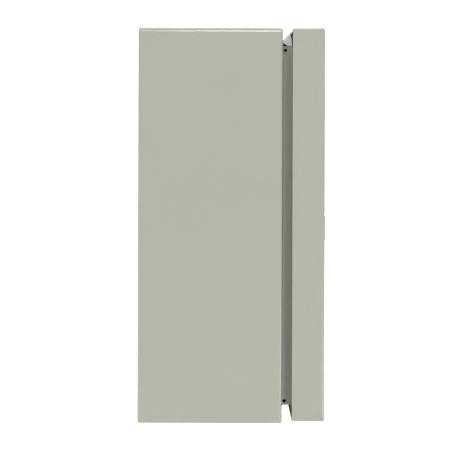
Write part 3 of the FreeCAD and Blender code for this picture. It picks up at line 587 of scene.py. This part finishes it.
def install(piece, body, finish, stands_for=()):
    """Gives a finished piece its material and its place in the cabinet."""
    piece.data.materials.clear()
    piece.data.materials.append(finish)
    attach(piece, body)
    if stands_for:
        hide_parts(*stands_for)


def fit_out(piece, body, slot, stands_for=()):
    """Installs a piece in the finish of one of the record's material slots."""
    install(piece, body, finishes[slot], stands_for)


# ---- seals and rubber ------------------------------------------------------------------------
def foam_door_seal():
    """Poured foam: a low dome, slightly uneven, carried round the inside of the door."""
    low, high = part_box("door_gasket")
    width, rise = 10.0 * MM, (high.y - low.y) - 0.2 * MM
    mid_w, mid_h = (high.x - low.x - width) / 2, (high.z - low.z - width) / 2
    bpy.ops.mesh.primitive_circle_add(vertices=28, radius=1, fill_type="NOTHING", location=(mid_w, low.y, 0))
    seal = bpy.context.object
    seal.name = "foam_door_seal"
    seal.scale = (width / 2 - 0.2 * MM, rise, 1)
    settle(seal)
    open_up(seal)
    bpy.ops.mesh.bisect(plane_co=(0, low.y - 0.01 * MM, 0), plane_no=(0, 1, 0), clear_inner=True)
    bpy.ops.mesh.select_all(action="DESELECT")
    mesh = bmesh.from_edit_mesh(seal.data)
    for corner in mesh.verts:
        corner.select_set(len(corner.link_edges) == 1)
    bmesh.update_edit_mesh(seal.data)
    bpy.ops.mesh.edge_face_add()
    close_up()
    carried_round(seal, mid_w, mid_h, 7.0 * MM, 5.0 * MM, 8)
    unevenness = bpy.data.textures.new("poured_unevenness", "CLOUDS")
    unevenness.noise_scale = 0.016
    apply_modifier(seal, "DISPLACE", texture=unevenness, texture_coords="GLOBAL",
                   strength=0.35 * MM, mid_level=0.6)
    apply_modifier(seal, "SUBSURF", levels=1, render_levels=1)
    smooth(seal, 60)
    fit_out(seal, "door", "seal_foam", ["door_gasket"])


def gland_seal():
    """Flat rubber frame squeezed between the gland plate and the bottom wall, with rounded corners and edges.
    """
    low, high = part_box("gland_gasket")
    thick = high.z - low.z
    frame_width, screw_hole = 10.0 * MM, 2.15 * MM
    seal = block("gland_seal", low, high)
    open_up(seal)
    choose(seal, "EDGE", lambda middle, along: abs(along.z) > 0.9)
    bpy.ops.mesh.bevel(offset=4.0 * MM, segments=6, affect="EDGES")
    close_up()
    middle = (low + high) / 2
    reach = (high - low) / 2 - Vector((frame_width, frame_width, -thick))
    cut_away(seal, block("window_cutter", middle - reach, middle + reach))
    for side_x in (-1, 1):
        for side_y in (-1, 1):
            hole = (middle.x + side_x * (reach.x + frame_width / 2),
                    middle.y + side_y * (reach.y + frame_width / 2), middle.z)
            bpy.ops.mesh.primitive_cylinder_add(vertices=24, radius=screw_hole, depth=thick * 3,
                                                location=hole)
            cutter = bpy.context.object
            settle(cutter)
            cut_away(seal, cutter)
    round_edges(seal, 0.45 * MM, 3, 60)
    smooth(seal)
    fit_out(seal, "cabinet", "grey_rubber", ["gland_gasket"])


def gutter_end_seals():
    """Moulded ends that close the rain channel, with the moulding's soft corners."""
    plugs = nodes["gutter_end_plugs"]
    take(plugs)
    bpy.ops.object.duplicate(linked=False)
    seals = bpy.context.object
    seals.name = "gutter_end_seals"
    tidy_mesh(seals)
    open_up(seals)
    bpy.ops.mesh.dissolve_limited(angle_limit=math.radians(2))
    close_up()
    round_edges(seals, 0.35 * MM, 3, 20)
    smooth(seals, 60)
    fit_out(seals, "cabinet", "pale_rubber", ["gutter_end_plugs"])


GROMMET_OUTLINE = (
    (0, 0), (2.6, 0), (3.8, 0.1), (4.1, 0.5), (4.4, 1.0), (4.9, 1.1), (6.9, 1.15), (7.4, 1.3),
    (7.7, 1.8), (8.1, 2.2), (9.0, 2.25), (12.9, 2.3), (13.7, 2.5), (14.0, 3.0), (14.0, 3.8),
    (13.6, 4.3), (12.9, 4.4), (11.0, 4.4), (11.0, 5.9), (12.4, 5.9), (13.0, 6.2), (12.9, 6.6),
    (11.9, 7.4), (11.3, 7.5), (9.0, 7.5), (8.6, 7.3), (8.6, 3.6), (8.3, 3.3), (7.0, 2.2),
    (4.0, 2.1), (3.4, 1.0), (0, 1.0))
GROMMET_RIBS = 6


def cable_grommets():
    """Stepped membrane grommets, each turned from one outline and given short ribs on its cone."""
    for number in (1, 2, 3):
        node = f"cable_grommet_{number}"
        low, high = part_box(node)
        place = Vector(((low.x + high.x) / 2, (low.y + high.y) / 2, low.z))
        drawn_height = max(height for _, height in GROMMET_OUTLINE)
        scale = (high.z - low.z) / (drawn_height * MM)
        points = [(radius * MM, height * MM * scale) for radius, height in GROMMET_OUTLINE]
        grommet = turned(f"membrane_grommet_{number}", points, place, Z, 48)
        smooth(grommet, 35)
        ribs = []
        for turn in range(GROMMET_RIBS):
            rib = block("rib", (4.9 * MM, -0.35 * MM, 0.75 * MM), (7.1 * MM, 0.35 * MM, 1.4 * MM))
            round_edges(rib, 0.2 * MM, 2)
            smooth(rib)
            ribs.append(copy_at(rib, place, math.radians(360 / GROMMET_RIBS * turn)))
            bpy.data.objects.remove(rib, do_unlink=True)
        grommet = joined(grommet.name, [grommet] + ribs)
        fit_out(grommet, "cabinet", "grey_rubber", [node])


def lock_face_seal():
    """Thin rubber ring squeezed under the lock's face, with rounded rims."""
    low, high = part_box("lock_seal")
    place = Vector(((low.x + high.x) / 2, low.y, (low.z + high.z) / 2))
    outer, thick = (high.x - low.x) / 2, high.y - low.y
    inner, rim = 10.05 * MM, outer - 0.1 * MM
    outline = [(inner, 0), (rim, 0), (outer, thick / 2), (rim, thick), (inner, thick)]
    seal = turned("lock_face_seal", outline, place, Y, 48, closed=True)
    smooth(seal)
    fit_out(seal, "door", "grey_rubber", ["lock_seal"])


# ---- threads and welds -----------------------------------------------------------------------
def threaded_rod(name, radius, pitch, length):
    """An upright rod with a rolled thread, standing on the world's middle."""
    root = radius - 0.58 * pitch
    start = -2 * pitch
    outline = [Vector((root, 0, start)), Vector((root, 0, start + 0.12 * pitch)),
               Vector((radius, 0, start + 0.44 * pitch)), Vector((radius, 0, start + 0.56 * pitch)),
               Vector((root, 0, start + 0.88 * pitch)), Vector((root, 0, start + pitch))]
    rod = drawn_line(name, outline)
    turns = math.ceil(length / pitch) + 4
    apply_modifier(rod, "SCREW", axis="Z", angle=2 * math.pi, screw_offset=pitch, iterations=turns,
                   steps=18, render_steps=18, use_merge_vertices=True, merge_threshold=WELD_TOLERANCE,
                   use_normal_calculate=True)
    tidy_mesh(rod)
    open_up(rod)
    bpy.ops.mesh.bisect(plane_co=(0, 0, 0), plane_no=(0, 0, 1), clear_inner=True)
    bpy.ops.mesh.select_all(action="SELECT")
    bpy.ops.mesh.bisect(plane_co=(0, 0, length), plane_no=(0, 0, 1), clear_outer=True)
    bpy.ops.mesh.select_all(action="SELECT")
    bpy.ops.mesh.fill_holes(sides=0)
    close_up()
    tidy_mesh(rod)
    open_up(rod)
    choose(rod, "FACE", lambda middle, normal: middle.z > length - 0.0001 * MM and normal.z > 0.9)
    bpy.ops.transform.resize(value=(0.84, 0.84, 1.0))
    close_up()
    smooth(rod, 30)
    return rod


STUD_RADIUS, STUD_PITCH = 3.0 * MM, 1.0 * MM  # M6


def earth_stud(body, length, turn, foot):
    """A welded earth stud, turned from upright and moved to its foot."""
    stud = threaded_rod(f"threaded_{body}_earth_stud", STUD_RADIUS, STUD_PITCH, length)
    stud.rotation_euler = turn
    settle(stud)
    stud.location = foot
    settle(stud)
    fit_out(stud, body, "zinc_plated_steel", [f"{body}_earth_stud"])


def threaded_studs():
    """The welded studs, in place of the plain rods that hold their room."""
    low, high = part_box("plate_studs")
    rod = threaded_rod("rod", STUD_RADIUS, STUD_PITCH, high.y - low.y)
    rod.rotation_euler = (math.radians(90), 0, 0)
    settle(rod)
    places = [(x, high.y, z) for x in (low.x + STUD_RADIUS, high.x - STUD_RADIUS)
              for z in (low.z + STUD_RADIUS, high.z - STUD_RADIUS)]
    studs = joined("threaded_plate_studs", [copy_at(rod, place) for place in places])
    bpy.data.objects.remove(rod, do_unlink=True)
    fit_out(studs, "cabinet", "zinc_plated_steel", ["plate_studs"])

    low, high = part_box("cabinet_earth_stud")
    foot = (high.x, (low.y + high.y) / 2, (low.z + high.z) / 2)
    earth_stud("cabinet", high.x - low.x, (0, math.radians(-90), 0), foot)

    low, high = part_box("door_earth_stud")
    foot = ((low.x + high.x) / 2, low.y, (low.z + high.z) / 2)
    earth_stud("door", high.y - low.y, (math.radians(-90), 0, 0), foot)


def weld_bead(start, end, radius):
    """A short run of overlapping weld drops, melted into one bead."""
    start, end = Vector(start), Vector(end)
    pitch = radius * 0.8
    count = max(3, round((end - start).length / pitch))
    drops = []
    for i in range(count):
        bpy.ops.mesh.primitive_ico_sphere_add(subdivisions=2, radius=radius,
                                              location=start.lerp(end, i / (count - 1)))
        drop = bpy.context.object
        settle(drop)
        drops.append(drop)
    bead = joined("bead", drops)
    apply_modifier(bead, "REMESH", mode="VOXEL", voxel_size=radius / 4)
    apply_modifier(bead, "SMOOTH", factor=0.5, iterations=2)
    smooth(bead, 80)
    return bead


def hinge_welds():
    """Beads that hold each hinge leaf: two on the sealing lip and two inside the door's flange."""
    on_lip, on_door = [], []
    for place in ("upper", "lower"):
        low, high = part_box(f"{place}_hinge_fixed_leaf")
        face_x = low.x + 0.5 * MM
        for z in (low.z, high.z):
            on_lip.append(weld_bead((face_x, low.y + 4.5 * MM, z), (face_x, low.y + 12.5 * MM, z), 1.0 * MM))
        low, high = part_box(f"{place}_hinge_door_leaf")
        face_x = high.x - 0.5 * MM
        for z in (low.z, high.z):
            on_door.append(weld_bead((face_x, low.y + 2.0 * MM, z), (face_x, low.y + 10.5 * MM, z), 1.0 * MM))
    fit_out(joined("hinge_welds_on_lip", on_lip), "cabinet", "cabinet_paint")
    fit_out(joined("hinge_welds_on_door", on_door), "door", "cabinet_paint")


def door_corner_welds():
    """Painted-over welds that close the door's folded corners, left slightly proud at the top."""
    low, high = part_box("door_shell")
    radius = 1.1 * MM
    top = high.z - 0.8 * MM
    beads = []
    for x in (low.x + 1.5 * MM, high.x - 1.5 * MM):
        beads.append(weld_bead((x, low.y + 1.5 * MM, top), (x, low.y + 5.5 * MM, top), radius))
    fit_out(joined("door_corner_welds", beads), "door", "cabinet_paint")


# ---- switchgear details ----------------------------------------------------------------------
DEVICES = ("main_switch", "breaker_1", "breaker_2", "breaker_3", "breaker_4")
MODULE_WIDTH = 17.5 * MM
NOSE_DEPTH = 16.0 * MM  # from a device's nose back to its shoulders
ENTRY_SETBACK = 18.0 * MM  # from the shoulders back to the middle of a wire entry
LABEL_TOP, LABEL_BOTTOM = 18.8 * MM, 10.2 * MM  # from the middle of the nose
WINDOW_TOP, WINDOW_BOTTOM = -12.8 * MM, -17.4 * MM
RIVET_PLACES = ((6.0, 17.0), (6.0, -17.0), (21.0, 34.0), (21.0, -34.0), (48.0, 34.0), (48.0, -34.0))


def framed_recess(name, low, high, rim, sink):
    """A small raised frame on a front face, with its middle pressed in."""
    recess = block(name, low, high)
    press_in(recess, lambda middle, normal: normal.y < -0.9, rim, (0, sink, 0))
    round_edges(recess, 0.12 * MM, 2)
    smooth(recess)
    return recess


def device_fronts():
    """Blank label holders and a status window with its flag on each device's nose."""
    holders, labels, windows, flags = [], [], [], []
    for device in DEVICES:
        low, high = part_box(f"{device}_case")
        middle_x, middle_z = (low.x + high.x) / 2, (low.z + high.z) / 2
        half = (high.x - low.x) / 2 - 2.2 * MM
        front = low.y
        top, bottom = middle_z + LABEL_TOP, middle_z + LABEL_BOTTOM
        holders.append(framed_recess("holder", (middle_x - half, front - 0.5 * MM, bottom),
                                     (middle_x + half, front + 0.2 * MM, top), 0.7 * MM, 0.35 * MM))
        label = block("label", (middle_x - half + 0.9 * MM, front - 0.3 * MM, bottom + 0.9 * MM),
                      (middle_x + half - 0.9 * MM, front, top - 0.9 * MM))
        round_edges(label, 0.08 * MM, 1)
        labels.append(label)
        half = 2.6 * MM
        top, bottom = middle_z + WINDOW_TOP, middle_z + WINDOW_BOTTOM
        windows.append(framed_recess("window", (middle_x - half, front - 0.4 * MM, bottom),
                                     (middle_x + half, front + 0.2 * MM, top), 0.6 * MM, 0.3 * MM))
        flag = block("flag", (middle_x - half + 0.7 * MM, front - 0.2 * MM, bottom + 0.7 * MM),
                     (middle_x + half - 0.7 * MM, front, top - 0.7 * MM))
        round_edges(flag, 0.06 * MM, 1)
        flags.append(flag)
    fit_out(joined("device_label_holders", holders), "cabinet", "case_plastic")
    install(joined("device_blank_labels", labels), "cabinet", blank_label)
    fit_out(joined("device_status_windows", windows), "cabinet", "end_stop_plastic")
    install(joined("device_status_flags", flags), "cabinet", status_green)


def device_terminals():
    """The steel cage clamps that show in each wire entry, and the sliding rail clip below each module."""
    clamps, clips = [], []
    for device in DEVICES:
        low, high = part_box(f"{device}_case")
        modules = round((high.x - low.x) / MODULE_WIDTH)
        width = (high.x - low.x) / modules
        for module in range(modules):
            x = low.x + width * (module + 0.5)
            entry_y = low.y + NOSE_DEPTH + ENTRY_SETBACK
            for wall, inward in ((low.z, 1), (high.z, -1)):
                bottom = wall + inward * 2.9 * MM
                near, far = sorted((bottom, bottom - inward * 1.3 * MM))
                clamps.append(framed_clamp(x, entry_y, near, far, inward))
            clip = block("clip", (x - 3.6 * MM, high.y - 8.6 * MM, low.z - 3.2 * MM),
                         (x + 3.6 * MM, high.y - 6.4 * MM, low.z + 2.0 * MM))
            press_in(clip, lambda middle, normal: normal.y < -0.9, 0.9 * MM, (0, 1.2 * MM, 0))
            round_edges(clip, 0.25 * MM, 2)
            smooth(clip)
            clips.append(clip)
    fit_out(joined("terminal_cage_clamps", clamps), "cabinet", "zinc_plated_steel")
    fit_out(joined("device_rail_clips", clips), "cabinet", "end_stop_plastic")


def framed_clamp(x, y, near, far, inward):
    """One cage clamp: a plate with a square mouth for the wire."""
    half = 3.4 * MM
    clamp = block("clamp", (x - half, y - half, near), (x + half, y + half, far))
    press_in(clamp, lambda middle, normal: normal.z * inward < -0.9, 1.1 * MM, (0, 0, inward * 1.0 * MM))
    round_edges(clamp, 0.15 * MM, 2)
    smooth(clamp)
    return clamp


def case_rivets():
    """Hollow rivets on the two outer sides of the row of devices."""
    points = in_millimetres([(0.75, -0.1), (0.8, 0.12), (1.0, 0.25), (1.4, 0.22), (1.65, 0.1), (1.7, -0.1)])
    rivets = []
    for device, side in (("main_switch", -1), ("breaker_4", 1)):
        low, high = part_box(f"{device}_case")
        middle_z = (low.z + high.z) / 2
        face = low.x if side < 0 else high.x
        for back, up in RIVET_PLACES:
            place = Vector((face, low.y + back * MM, middle_z + up * MM))
            rivet = turned("rivet", points, place, X * side, 20, closed=True)
            smooth(rivet)
            rivets.append(rivet)
    fit_out(joined("case_rivets", rivets), "cabinet", "zinc_plated_steel")


def end_stop_screws():
    """The slotted screw sunk in each rail end stop."""
    screws = []
    for side in ("left", "right"):
        low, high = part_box(f"rail_end_stop_{side}")
        place = Vector(((low.x + high.x) / 2, low.y + 6.0 * MM, (low.z + high.z) / 2))
        outline = [(0, -4.2), (1.9, -4.2), (2.3, -4.0), (2.45, -3.6), (2.45, 0), (0, 0)]
        screw = turned("screw", in_millimetres(outline), place, Y, 32)
        slot = block("slot", place + Vector((-3, -5, -0.4)) * MM, place + Vector((3, -3.0, 0.4)) * MM)
        cut_away(screw, slot)
        smooth(screw, 30)
        screws.append(screw)
    fit_out(joined("end_stop_screws", screws), "cabinet", "zinc_plated_steel")


bpy.context.scene.view_settings.view_transform = "Standard"
set_camera()
set_lights()
set_world()
set_floor()
finishes = make_finishes()
blank_label = moulded_plastic("blank_label_stock", (0.78, 0.78, 0.76), 0.6)
status_green = moulded_plastic("status_flag_green", (0.02, 0.30, 0.07), 0.35)
paint_nodes(finishes)

foam_door_seal()
gland_seal()
gutter_end_seals()
cable_grommets()
lock_face_seal()
threaded_studs()
hinge_welds()
door_corner_welds()
device_fronts()
device_terminals()
case_rivets()
end_stop_screws()
